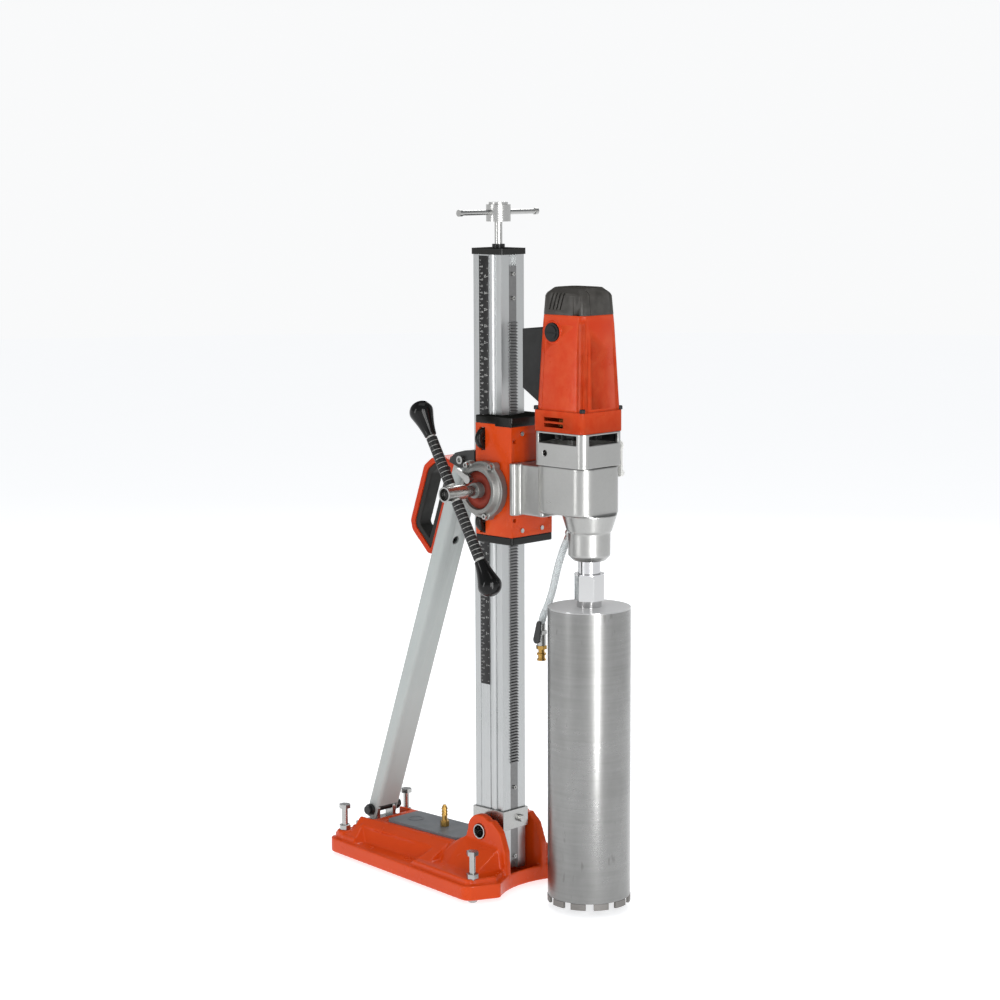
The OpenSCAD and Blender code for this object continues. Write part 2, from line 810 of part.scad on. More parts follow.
module armature() color("sienna") translate([0, -motor_y, 0]) {
    rod_z(feed_z + 24, shell_top - 4, 8);
    gear_z(motor_teeth, motor_module, feed_z + 24, feed_z + 42, turn_1);
    rod_z(feed_z + 102, feed_z + 106, 26);
    for (a = [0:45:315])
        rotate(a) box(6, 29, -1, 1, feed_z + 104, feed_z + 116);
    rod_z(feed_z + 116, feed_z + 117.5, 58);
    rod_z(feed_z + 148, feed_z + 212, 43);
    rod_z(feed_z + 236, feed_z + 256, 26);
}

module gear_selector() color("white") {
    rod_x(39, 46, 10, -205, feed_z + 74);
    rod_x(45.1, 50, 18, -205, feed_z + 74);
    side_plate(46, 50) hull() {
        translate([-205, feed_z + 74]) circle(7);
        translate([-208, feed_z + 32]) circle(5);
    }
    rod_x(46, 54, 9, -208, feed_z + 32);
}

// ---------------------------------------------------------------- bit

module core_bit() color("silver") translate([0, -spindle_y, 0]) difference() {
    union() {
        rod_z(bit_low + segment_h, bit_top, bit_d);
        rod_z(bit_top, bit_top + 9.5, 38);
        hex_bar(bit_top + 9.4, nose_low - 22.1, 40);
    }
    rod_z(bit_low, bit_top - 5, bit_d - 2 * bit_wall);
    rod_z(bit_top + 4, nose_low, 31 + 2 * fit);
    rod_z(bit_top - 20, bit_top + 10, 9);
}

module bit_segments() color("dimgray") translate([0, -spindle_y, 0])
    for (i = [0:segment_count - 1])
        rotate(i * 360 / segment_count)
            rotate_extrude(angle = 360 / segment_count * 0.66)
                translate([bit_d / 2 - 3.8, bit_low]) square([4.4, segment_h]);

// ---------------------------------------------------------------- crank

// frame of the crank: Z along its bar, X outwards along its shaft
module on_crank()
    translate([-118, crank_y, feed_z]) rotate([-crank_angle, 0, 0]) children();

module crank_shaft() color("silver") {
    difference() {
        union() {
            rod_x(-138, -97, 24, crank_y, feed_z);
            rod_x(-97, -76.2, 17, crank_y, feed_z);
            rod_x(-76.2, -28.5, 14, crank_y, feed_z);
        }
        rod_x(-140, -131, 19, crank_y, feed_z);
        on_crank() rod_z(-20, 20, 12 + 2 * fit);
    }
    gear_x(crank_teeth, 1, -37.5, -30.5, 0, crank_y);
}

module crank_bar() color("black") on_crank() {
    rod_z(-148.5, 133.5, 12);
    for (z = [14, 21.4, 28.8, 36.2, 43.6, 51, 58.4, 65.8, 73.2, 80.6, 88])
        rod_z(z, z + 6.4, 17);
    for (z = [14, 21.4, 28.8, 36.2, 43.6, 51, 58.4, 65.8, 73.2, 80.6, 88, 95.4, 102.8])
        rod_z(-z - 6.4, -z, 17);
    rod_z(14, 94, 15);
    rod_z(-109, -14, 15);
}

// pear shaped grip, stem at the origin, tip at 58
module grip() difference() {
    rotate_extrude() difference() {
        union() {
            polygon([[0, 0], [9.5, 0], [11.5, 12], [15, 24], [18.5, 36], [0, 44]]);
            translate([0, 39]) circle(19);
        }
        translate([-40, -10]) square([40, 90]);
    }
    rod_z(-1, 36.1, 12 + 2 * fit);
}

module crank_grips() color("black") on_crank() {
    translate([0, 0, 97.5]) grip();
    translate([0, 0, -112.5]) mirror([0, 0, 1]) grip();
}

module feed_pinion() color("silver") {
    rod_x(-50, 44.5, 10, pinion_y, feed_z);
    gear_x(pinion_teeth, rack_module, -8.5, 8.5, 180 / pinion_teeth, pinion_y);
    gear_x(feed_teeth, 1, -37.5, -30.5, 180 / feed_teeth, pinion_y);
}

module carriage_lock() color("silver") translate([0, crank_y + 15, feed_z + 16]) {
    rod_x(-72, -60, 8);
    rod_x(-75, -68.2, 13);
    side_plate(-74, -70) hull() {
        circle(5);
        translate([22, 12]) circle(3.5);
    }
}

// ---------------------------------------------------------------- water

module at_hose_start()
    translate([0, hose_route[0][0], hose_route[0][1]]) rotate([inlet_lean, 0, 0]) children();

module water_inlet() color("goldenrod") difference() {
    union() {
        rod_y(-157.5, -149, 10, 0, feed_z - 60);
        rod_y(-156.5, -152, 14, 0, feed_z - 60);
        translate([0, -148.5, feed_z - 60]) sphere(d = 13);
        at_hose_start() cylinder(d = hose_d, h = 10);
    }
    at_hose_start() translate([0, 0, -4]) cylinder(d = 5, h = 10);
}

// points of one ring of the hose, square to the route at point i
function hose_ring(i) =
    let(n = len(hose_route),
        ahead = hose_route[min(i + 1, n - 1)],
        behind = hose_route[max(i - 1, 0)],
        a = i == n - 1 ? -90 : atan2(ahead[1] - behind[1], ahead[0] - behind[0]))
    [for (k = [0:hose_sides - 1])
        let(turn = k * 360 / hose_sides, u = hose_d / 2 * cos(turn), v = hose_d / 2 * sin(turn))
        [u, hose_route[i][0] - v * sin(a), hose_route[i][1] + v * cos(a)]];

module hose() color("lightgray") {
    n = len(hose_route);
    sides = hose_sides;
    polyhedron(
        points = [for (i = [0:n - 1]) each hose_ring(i)],
        faces = concat(
            [[for (k = [sides - 1:-1:0]) k]],
            [[for (k = [0:sides - 1]) (n - 1) * sides + k]],
            [for (i = [0:n - 2]) for (k = [0:sides - 1])
                let(next = (k + 1) % sides, here = i * sides, ahead = here + sides)
                [here + k, here + next, ahead + next, ahead + k]]));
}

module valve_body() color("gray") translate([0, valve_y, 0]) difference() {
    union() {
        rod_z(valve_z - 10, valve_z, 13);
        hex_bar(valve_z - 16, valve_z - 10, 15);
        rod_z(valve_z - 34, valve_z - 16, 14);
        translate([-8.5, 0, valve_z - 24]) rotate([0, 90, 0]) cylinder(d = 10, h = 4);
    }
    rod_z(valve_z - 40, valve_z - 1, 6);
    rod_x(-9, 0, 4 + 2 * fit, 0, valve_z - 24);
}

module valve_lever() color("dimgray") translate([0, valve_y, valve_z - 24]) {
    rod_x(-12.5, -3, 4);
    side_plate(-12.5, -9.5) hull() {
        circle(6);
        translate([-5, 26]) circle(4);
    }
}

module hose_coupling() color("goldenrod") translate([0, valve_y, 0]) difference() {
    union() {
        hex_bar(valve_z - 40, valve_z - 34.05, 15);
        rod_z(valve_z - 46, valve_z - 40, 10);
        rod_z(valve_z - 49, valve_z - 46, 15);
        rod_z(valve_z - 55, valve_z - 49, 11);
        rod_z(valve_z - 58, valve_z - 55, 14);
    }
    rod_z(valve_z - 60, valve_z - 30, 6);
}

// ---------------------------------------------------------------- assembly

base_casting();
cover_plate();
vacuum_nipple();
pivot_tube();
lock_nuts();
brace_bracket();
brace_pin();
levelling_screw(-front_screw_x, front_screw_y, 75);  // levelling_screw_1
levelling_screw(front_screw_x, front_screw_y, 75);  // levelling_screw_2
levelling_screw(-rear_screw_x, rear_screw_y, 79);  // levelling_screw_3
levelling_screw(rear_screw_x, rear_screw_y, 79);  // levelling_screw_4
column();
rack();
column_screws();
top_cap();
column_foot();
brace_tube();
brace_head();
fork_bolt();
carry_handle();
handle_grip();
slot_slider();
carriage_shell();
carriage_top_cover();
carriage_bottom_cover();
feed_housing();
carriage_screws();
roller(-roller_x, roller_up);  // roller_1
roller(-roller_x, roller_down);  // roller_2
roller(roller_x, roller_up);  // roller_3
roller(roller_x, roller_down);  // roller_4
mount_plate();
gear_case();
gear_head();
motor_housing();
motor_cap();
brush_caps();
stator();
electronics_box();
bearings();
water_inlet();
hose();
valve_body();
hose_coupling();
valve_lever();
crank_shaft();
crank_bar();
crank_grips();
feed_pinion();
carriage_lock();
spindle();
core_bit();
bit_segments();
armature();
layshaft();
gear_selector();
power_switch();
jack_pad();
jack_screw();
tommy_bar();
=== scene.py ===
import json
import math

import bmesh
import bpy
from mathutils import Matrix, Vector


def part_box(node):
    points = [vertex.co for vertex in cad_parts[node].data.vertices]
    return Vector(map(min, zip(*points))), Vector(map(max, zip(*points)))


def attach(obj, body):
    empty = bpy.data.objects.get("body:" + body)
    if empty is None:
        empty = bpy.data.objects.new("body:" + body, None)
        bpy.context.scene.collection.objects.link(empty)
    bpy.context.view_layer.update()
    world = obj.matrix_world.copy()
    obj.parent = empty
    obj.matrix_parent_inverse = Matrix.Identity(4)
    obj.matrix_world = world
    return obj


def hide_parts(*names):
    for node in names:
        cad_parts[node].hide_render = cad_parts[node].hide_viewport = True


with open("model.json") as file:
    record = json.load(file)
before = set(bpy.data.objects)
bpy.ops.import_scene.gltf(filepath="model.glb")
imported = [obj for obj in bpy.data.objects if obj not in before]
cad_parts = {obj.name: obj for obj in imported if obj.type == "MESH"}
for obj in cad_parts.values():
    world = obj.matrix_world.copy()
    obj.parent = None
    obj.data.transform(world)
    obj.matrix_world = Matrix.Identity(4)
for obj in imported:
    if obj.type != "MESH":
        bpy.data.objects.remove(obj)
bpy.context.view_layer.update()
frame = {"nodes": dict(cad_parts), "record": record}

# Core drill rig.  Shapes are written in millimetres and made in metres.
MM = 0.001
NODES = frame["nodes"]
WELD = 2e-6             # metres: corners of a CAD node closer than this are one
SEAM = 1e-6             # metres: the same for the ends of a turned shape
MOTOR_Y = -167          # the motor's axis
PARTING_X = -21.1       # where the side shell of the motor's housing and cap begins
BRUSH_SEATS = ((-1, -150.5), (1, -183.5))       # side, place along Y
SLOT_OF = {s["node"]: s["material_slot"] for s in frame["record"]["subparts"]}


# ---------------------------------------------------------------- camera

def make_camera():
    """The camera stands in front of the rig's crank side, a little above its middle."""
    place = (-2.73114, -2.67666, 1.15562)
    yaw, pitch, roll = math.radians(45.589), math.radians(8.052), math.radians(-0.222)
    sensor, lens = 36, 88.9
    forward = Vector((math.sin(yaw) * math.cos(pitch), math.cos(yaw) * math.cos(pitch),
                      -math.sin(pitch)))
    level = Vector((math.cos(yaw), -math.sin(yaw), 0))
    up = level.cross(forward)
    right = math.cos(roll) * level + math.sin(roll) * up
    up = right.cross(forward)
    camera = bpy.data.objects.new("camera", bpy.data.cameras.new("camera"))
    camera.data.sensor_width = sensor
    camera.data.lens = lens
    turn = Matrix((right, up, -forward)).transposed()
    camera.matrix_world = Matrix.Translation(place) @ turn.to_4x4()
    bpy.context.scene.collection.objects.link(camera)
    bpy.context.scene.camera = camera


# ---------------------------------------------------------------- mesh tools

def add(name, mesh, body, material, smooth=True):
    """Links a mesh as a piece that rides on a body."""
    piece = bpy.data.objects.new(name, mesh)
    bpy.context.scene.collection.objects.link(piece)
    piece.data.materials.clear()
    piece.data.materials.append(material)
    piece.data.shade_smooth() if smooth else piece.data.shade_flat()
    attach(piece, body)
    return piece


def mesh_of(points, faces, name="shape"):
    """A mesh from points in millimetres."""
    mesh = bpy.data.meshes.new(name)
    mesh.from_pydata([Vector(p) * MM for p in points], [], faces)
    bm = bmesh.new()
    bm.from_mesh(mesh)
    bmesh.ops.recalc_face_normals(bm, faces=bm.faces)
    bm.to_mesh(mesh)
    bm.free()
    return mesh


def hull(*points):
    """The convex solid around points."""
    bm = bmesh.new()
    for p in points:
        bm.verts.new(Vector(p) * MM)
    bmesh.ops.convex_hull(bm, input=bm.verts)
    bmesh.ops.recalc_face_normals(bm, faces=bm.faces)
    mesh = bpy.data.meshes.new("hull")
    bm.to_mesh(mesh)
    bm.free()
    return mesh


def block(x0, x1, y0, y1, z0, z1):
    """A box between two corners."""
    return hull(*[(x, y, z) for x in (x0, x1) for y in (y0, y1) for z in (z0, z1)])


def lathe(profile, origin, axis=(0, 0, 1), sides=64, closed=False):
    """A turned solid: profile is [radius, height] along the axis, from the origin."""
    turn = Vector((0, 0, 1)).rotation_difference(Vector(axis)).to_matrix()
    points, faces = [], []
    for radius, height in profile:
        for k in range(sides):
            a = 2 * math.pi * k / sides
            spoke = Vector((radius * math.cos(a), radius * math.sin(a), height))
            points.append(Vector(origin) + turn @ spoke)
    count = len(profile)
    for i in range(count if closed else count - 1):
        for k in range(sides):
            a, b = i * sides, (i + 1) % count * sides
            faces.append((a + k, a + (k + 1) % sides, b + (k + 1) % sides, b + k))
    if not closed:
        faces.append(tuple(range(sides))[::-1])
        faces.append(tuple((count - 1) * sides + k for k in range(sides)))
    mesh = mesh_of(points, faces)
    bm = bmesh.new()
    bm.from_mesh(mesh)
    bmesh.ops.remove_doubles(bm, verts=bm.verts, dist=SEAM)
    bm.to_mesh(mesh)
    bm.free()
    return mesh


def joined(meshes):
    """Several meshes as one."""
    bm = bmesh.new()
    for mesh in meshes:
        bm.from_mesh(mesh)
    out = bpy.data.meshes.new("joined")
    bm.to_mesh(out)
    bm.free()
    return out


def cad_mesh(*nodes):
    """A welded copy of the CAD nodes' own shape."""
    bm = bmesh.new()
    for node in nodes:
        bm.from_mesh(NODES[node].data)
    bmesh.ops.remove_doubles(bm, verts=bm.verts, dist=WELD)
    mesh = bpy.data.meshes.new("copy")
    bm.to_mesh(mesh)
    bm.free()
    return mesh


def modified(mesh, *steps):
    """The mesh after a list of modifiers, each (type, settings)."""
    holder = bpy.data.objects.new("holder", mesh)
    bpy.context.scene.collection.objects.link(holder)
    for kind, settings in steps:
        modifier = holder.modifiers.new(kind, kind)
        for key, value in settings.items():
            setattr(modifier, key, value)
    graph = bpy.context.evaluated_depsgraph_get()
    out = bpy.data.meshes.new_from_object(holder.evaluated_get(graph), depsgraph=graph)
    bpy.data.objects.remove(holder)
    return out


def cut(mesh, cutter, operation="DIFFERENCE"):
    """A boolean of one mesh with another."""
    tool = bpy.data.objects.new("tool", cutter)
    bpy.context.scene.collection.objects.link(tool)
    out = modified(mesh, ("BOOLEAN", {"operation": operation, "object": tool, "solver": "EXACT",
                                      "use_self": True}))
    bpy.data.objects.remove(tool)
    return out


def cast(mesh, voxel, passes, keep=1.0):
    """The shape as a casting or moulding: every edge rounded and filleted."""
    steps = [("REMESH", {"mode": "VOXEL", "voxel_size": voxel * MM, "use_smooth_shade": True}),
             ("SMOOTH", {"factor": 0.5, "iterations": passes})]
    if keep < 1:
        steps.append(("DECIMATE", {"ratio": keep}))
    return modified(mesh, *steps)


def rounded(mesh, width, segments=2, angle=35):
    """The shape with narrow rounded edges."""
    return modified(mesh, ("BEVEL", {"width": width * MM, "segments": segments, "limit_method": "ANGLE",
                                     "angle_limit": math.radians(angle), "harden_normals": False}))


def stand_for(piece, *nodes):
    """The piece takes the place of CAD nodes."""
    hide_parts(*nodes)
    return piece


# ---------------------------------------------------------------- materials

class Surface:
    """A procedural material built up from noise, streaks, bump and wear."""

    def __init__(self, name, roughness=0.5, metallic=0.0, coat=0.0):
        self.material = bpy.data.materials.new(name)
        self.material.use_nodes = True
        self.tree = self.material.node_tree
        self.shader = self.tree.nodes["Principled BSDF"]
        self.shader.inputs["Metallic"].default_value = metallic
        self.shader.inputs["Roughness"].default_value = roughness
        self.shader.inputs["Coat Weight"].default_value = coat
        self.shader.inputs["Coat Roughness"].default_value = 0.12
        self.shader.inputs["Specular IOR Level"].default_value = 0.3
        self.place = self.node("ShaderNodeTexCoord").outputs["Object"]

    def node(self, kind, **settings):
        """A shader node with its settings."""
        made = self.tree.nodes.new(kind)
        for key, value in settings.items():
            setattr(made, key, value)
        return made

    def link(self, source, target):
        self.tree.links.new(source, target)

    def math(self, operation, a, b=0.0, c=0.0):
        """A sum or product of sockets and numbers."""
        made = self.node("ShaderNodeMath", operation=operation)
        for socket, value in zip(made.inputs, (a, b, c)):
            if isinstance(value, (int, float)):
                socket.default_value = value
            else:
                self.link(value, socket)
        return made.outputs[0]

    def noise(self, scale, stretch=(1, 1, 1), detail=4.0, rough=0.6):
        """Noise over the piece; a small stretch factor draws it out along that axis."""
        mapping = self.node("ShaderNodeMapping")
        mapping.inputs["Scale"].default_value = stretch
        self.link(self.place, mapping.inputs["Vector"])
        made = self.node("ShaderNodeTexNoise")
        made.inputs["Scale"].default_value = scale
        made.inputs["Detail"].default_value = detail
        made.inputs["Roughness"].default_value = rough
        self.link(mapping.outputs[0], made.inputs["Vector"])
        return made.outputs["Fac"]

    def spread(self, value, low, high, out_low, out_high):
        """A value's range low..high mapped to another range."""
        made = self.node("ShaderNodeMapRange")
        for key, number in (("From Min", low), ("From Max", high),
                            ("To Min", out_low), ("To Max", out_high)):
            made.inputs[key].default_value = number
        self.link(value, made.inputs["Value"])
        return made.outputs["Result"]

    def mix(self, factor, a, b):
        """From colour a to colour b."""
        made = self.node("ShaderNodeMix", data_type="RGBA")
        for key, value in (("Factor", factor), (6, a), (7, b)):
            socket = made.inputs[key]
            if isinstance(value, tuple):
                socket.default_value = (*value, 1)
            elif isinstance(value, (int, float)):
                socket.default_value = value
            else:
                self.link(value, socket)
        return made.outputs[2]

    def colour(self, value):
        if isinstance(value, tuple):
            self.shader.inputs["Base Color"].default_value = (*value, 1)
        else:
            self.link(value, self.shader.inputs["Base Color"])

    def rough(self, value):
        self.link(value, self.shader.inputs["Roughness"])

    def bump(self, height, distance, strength=1.0):
        made = self.node("ShaderNodeBump")
        made.inputs["Distance"].default_value = distance * MM
        made.inputs["Strength"].default_value = strength
        self.link(height, made.inputs["Height"])
        self.link(made.outputs["Normal"], self.shader.inputs["Normal"])

    def dull_top(self, level, drop):
        """Specular level, lowered on level faces, which a low view would turn into mirrors."""
        split = self.node("ShaderNodeSeparateXYZ")
        self.link(self.node("ShaderNodeNewGeometry").outputs["Normal"], split.inputs[0])
        up = self.spread(split.outputs["Z"], 0.4, 0.9, 0, drop)
        self.link(self.math("MULTIPLY", self.math("SUBTRACT", 1, up), level),
                  self.shader.inputs["Specular IOR Level"])

    def wear(self, base, worn, low=0.53, high=0.62, amount=0.6):
        """Edges rubbed to another colour, broken up by noise."""
        edge = self.node("ShaderNodeNewGeometry").outputs["Pointiness"]
        patches = self.spread(self.noise(60), 0.35, 0.65, 0.2, 1.0)
        factor = self.math("MULTIPLY", self.spread(edge, low, high, 0, amount), patches)
        return self.mix(factor, base, worn)


def paint(name, light, dark, worn, low=0.18, high=0.30, coat=0.15, rubbed=0.25):
    """Sprayed or moulded colour with a faint orange peel and rubbed edges."""
    s = Surface(name, coat=coat)
    s.dull_top(0.12, 0.3)
    base = s.mix(s.spread(s.noise(9), 0.3, 0.7, 0, 1), light, dark)
    s.colour(s.wear(base, worn, amount=rubbed))
    s.rough(s.spread(s.noise(35), 0.3, 0.7, low, high))
    s.bump(s.noise(420, detail=2), 0.03, 0.4)
    return s.material


def plastic(name, light, dark, low, high, grain=900, depth=0.04):
    """Moulded plastic with a fine grain."""
    s = Surface(name)
    s.dull_top(0.25, 1.0)
    base = s.mix(s.spread(s.noise(14), 0.3, 0.7, 0, 1), light, dark)
    s.colour(s.wear(base, tuple(min(1, c * 1.9 + 0.02) for c in light), amount=0.45))
    s.rough(s.spread(s.noise(50), 0.3, 0.7, low, high))
    s.bump(s.noise(grain, detail=3), depth, 0.6)
    return s.material


def metal(name, light, dark, low, high, stretch=(1, 1, 1), grain=300, depth=0.02, stain=8,
          metallic=1.0):
    """Bare metal: stretch draws its grain out into brushing or extrusion lines."""
    s = Surface(name, metallic=metallic)
    lines = s.noise(grain, stretch, detail=2)
    stains = s.noise(stain, detail=4)
    tone = s.math("ADD", s.math("MULTIPLY", lines, 0.35), s.math("MULTIPLY", stains, 0.65))
    s.colour(s.mix(s.spread(tone, 0.3, 0.7, 0, 1), dark, light))
    s.rough(s.spread(tone, 0.35, 0.65, low, high))
    s.bump(lines, depth, 0.3)
    return s.material


def sleeve_material():
    """Black sleeves on a bright bar: the bar shows in the narrow gaps between them."""
    s = Surface("crank_sleeve")
    low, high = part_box("crank_bar")
    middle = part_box("crank_shaft")
    centre = Vector(((low.x + high.x) / 2, (middle[0].y + middle[1].y) / 2,
                     (middle[0].z + middle[1].z) / 2))
    lean = math.atan2(high.y - low.y - 0.012, high.z - low.z - 0.01)
    offset = s.node("ShaderNodeVectorMath", operation="SUBTRACT")
    s.link(s.place, offset.inputs[0])
    offset.inputs[1].default_value = centre
    cross = s.node("ShaderNodeVectorMath", operation="CROSS_PRODUCT")
    s.link(offset.outputs[0], cross.inputs[0])
    cross.inputs[1].default_value = (0, math.sin(lean), math.cos(lean))
    length = s.node("ShaderNodeVectorMath", operation="LENGTH")
    s.link(cross.outputs[0], length.inputs[0])
    outside = s.spread(length.outputs["Value"], 0.0077, 0.0080, 0, 1)
    black = s.mix(s.noise(40), (0.006, 0.006, 0.006), (0.012, 0.012, 0.012))
    s.colour(s.mix(outside, (0.55, 0.55, 0.53), black))
    s.rough(s.spread(s.noise(80), 0.3, 0.7, 0.32, 0.5))
    s.bump(s.noise(700), 0.05, 0.5)
    return s.material


def hose_material():
    """Clear hose with a woven braid inside its wall."""
    s = Surface("braided_hose", roughness=0.25)
    s.shader.inputs["Transmission Weight"].default_value = 0.35
    s.shader.inputs["IOR"].default_value = 1.4
    bands = []
    for side in (1, -1):
        mapping = s.node("ShaderNodeMapping")
        mapping.inputs["Rotation"].default_value = (side * math.radians(38), 0, 0)
        s.link(s.place, mapping.inputs["Vector"])
        wave = s.node("ShaderNodeTexWave", wave_type="BANDS", bands_direction="Z")
        wave.inputs["Scale"].default_value = 130
        wave.inputs["Distortion"].default_value = 0.3
        s.link(mapping.outputs[0], wave.inputs["Vector"])
        bands.append(wave.outputs["Fac"])
    weave = s.math("MAXIMUM", *bands)
    s.colour(s.mix(s.spread(weave, 0.6, 0.95, 0, 1), (0.5, 0.55, 0.56), (0.86, 0.88, 0.88)))
    s.rough(s.spread(s.noise(60), 0.3, 0.7, 0.18, 0.35))
    s.bump(weave, 0.15, 0.4)
    return s.material


def bit_material():
    """Drawn steel tube with fine turning rings and blotches, and a bright machined shank; its upward
    faces carry painted shade, a dull grey in place of their bright reflection.
    """
    s = Surface("bit_steel", metallic=1.0)
    rings = s.noise(200, (0.05, 0.05, 1), detail=3)
    blotches = s.noise(11, (1, 1, 0.5), detail=6, rough=0.6)
    tone = s.math("ADD", s.math("MULTIPLY", rings, 0.25), s.math("MULTIPLY", blotches, 0.75))
    clean = s.mix(s.spread(tone, 0.34, 0.66, 0, 1), (0.22, 0.22, 0.215), (0.30, 0.30, 0.295))
    scuffs = s.spread(s.noise(90, (1, 1, 0.35), detail=2), 0.68, 0.76, 0, 0.4)
    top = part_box("core_bit")[1].z
    split = s.node("ShaderNodeSeparateXYZ")
    s.link(s.place, split.inputs[0])
    shank = s.spread(split.outputs["Z"], top - 0.051, top - 0.049, 0, 1)
    barrel = s.mix(scuffs, clean, (0.12, 0.115, 0.11))
    # painted shade: faces that look upward get a dull, nearly non-metallic grey in place of their
    # reflection
    face = s.node("ShaderNodeSeparateXYZ")
    s.link(s.node("ShaderNodeNewGeometry").outputs["Normal"], face.inputs[0])
    top_face_shade = s.spread(face.outputs["Z"], 0.5, 0.9, 0, 1)
    barrel = s.mix(top_face_shade, barrel, (0.27, 0.27, 0.265))
    s.link(s.math("MULTIPLY_ADD", top_face_shade, -0.9, 1.0), s.shader.inputs["Metallic"])
    s.dull_top(0.5, 1.0)
    s.colour(s.mix(shank, barrel, (0.60, 0.60, 0.60)))
    rough = s.spread(tone, 0.35, 0.65, 0.32, 0.24)
    s.rough(s.math("MULTIPLY_ADD", shank, -0.2, rough))
    s.bump(rings, 0.01, 0.4)
    return s.material


ORANGE = ((0.62, 0.060, 0.006), (0.56, 0.050, 0.005))
M = {
    "orange_casting": paint("orange_casting", *ORANGE, (0.66, 0.15, 0.05)),
    "orange_plastic": paint("orange_plastic", (0.54, 0.040, 0.006), (0.49, 0.034, 0.005),
                            (0.66, 0.14, 0.05), 0.26, 0.36, 0.08),
    "recess_red": paint("recess_red", (0.25, 0.030, 0.018), (0.19, 0.024, 0.015), (0.3, 0.08, 0.05),
                        0.35, 0.5, 0.0),
    "cast_aluminium": metal("cast_aluminium", (0.41, 0.41, 0.40), (0.36, 0.36, 0.35), 0.27, 0.35,
                            grain=220, depth=0.006),
    "grey_casting": metal("grey_casting", (0.27, 0.27, 0.26), (0.20, 0.20, 0.19), 0.40, 0.55,
                          grain=260, depth=0.04, metallic=0.8),
    "column_aluminium": metal("column_aluminium", (0.50, 0.51, 0.51), (0.42, 0.43, 0.43), 0.24, 0.36,
                              (1, 1, 0.015), 500, 0.01, 5),
    "brace_tube": paint("brace_silver", (0.43, 0.46, 0.45), (0.41, 0.44, 0.43), (0.50, 0.50, 0.50),
                        0.30, 0.36, 0.1, 0.1),
    "dark_steel": metal("dark_steel", (0.07, 0.07, 0.07), (0.045, 0.045, 0.045), 0.3, 0.5),
    "zinc_steel": metal("zinc_steel", (0.46, 0.46, 0.45), (0.37, 0.37, 0.36), 0.2, 0.32,
                        grain=120, depth=0.01),
    "plate_grey": paint("plate_grey", (0.16, 0.17, 0.18), (0.13, 0.14, 0.15), (0.3, 0.3, 0.3),
                        0.3, 0.45, 0.1),
    "black_plastic": plastic("black_plastic", (0.012, 0.012, 0.012), (0.008, 0.008, 0.008), 0.38, 0.55),
    "cap_grey": plastic("cap_grey", (0.040, 0.037, 0.033), (0.030, 0.028, 0.025), 0.34, 0.46),
    "cover_black": plastic("cover_black", (0.010, 0.010, 0.009), (0.007, 0.007, 0.006), 0.14, 0.24,
                           300, 0.01),
    "black_grip": plastic("black_grip", (0.006, 0.006, 0.006), (0.004, 0.004, 0.004), 0.08, 0.16,
                          260, 0.01),
    "black_rubber": plastic("black_rubber", (0.02, 0.02, 0.018), (0.014, 0.014, 0.013), 0.5, 0.7,
                            500, 0.1),
    "crank_sleeve": sleeve_material(),
    "brass": metal("brass", (0.50, 0.31, 0.09), (0.36, 0.20, 0.05), 0.2, 0.36, grain=160),
    "chrome_steel": metal("chrome_steel", (0.62, 0.62, 0.63), (0.54, 0.54, 0.55), 0.06, 0.12, grain=80,
                          depth=0.004),
    "bit_steel": bit_material(),
    "segment_metal": metal("segment_metal", (0.30, 0.29, 0.28), (0.19, 0.18, 0.17), 0.5, 0.75,
                           grain=700, depth=0.2),
    "winding_steel": metal("winding_steel", (0.40, 0.14, 0.04), (0.22, 0.08, 0.03), 0.3, 0.5,
                           (1, 1, 0.05), 500),
    "gear_steel": metal("gear_steel", (0.26, 0.26, 0.26), (0.17, 0.17, 0.17), 0.28, 0.46, grain=200),
    "clear_hose": hose_material(),
    "switch_red": plastic("switch_red", (0.40, 0.02, 0.015), (0.32, 0.015, 0.012), 0.2, 0.3),
    "white_plastic": plastic("white_plastic", (0.7, 0.7, 0.67), (0.6, 0.6, 0.57), 0.3, 0.42),
    "ruler_black": plastic("ruler_black", (0.012, 0.012, 0.012), (0.008, 0.008, 0.008), 0.3, 0.42),
    "ruler_white": plastic("ruler_white", (0.42, 0.42, 0.41), (0.36, 0.36, 0.35), 0.4, 0.5),
}


# ---------------------------------------------------------------- CAD nodes that stay

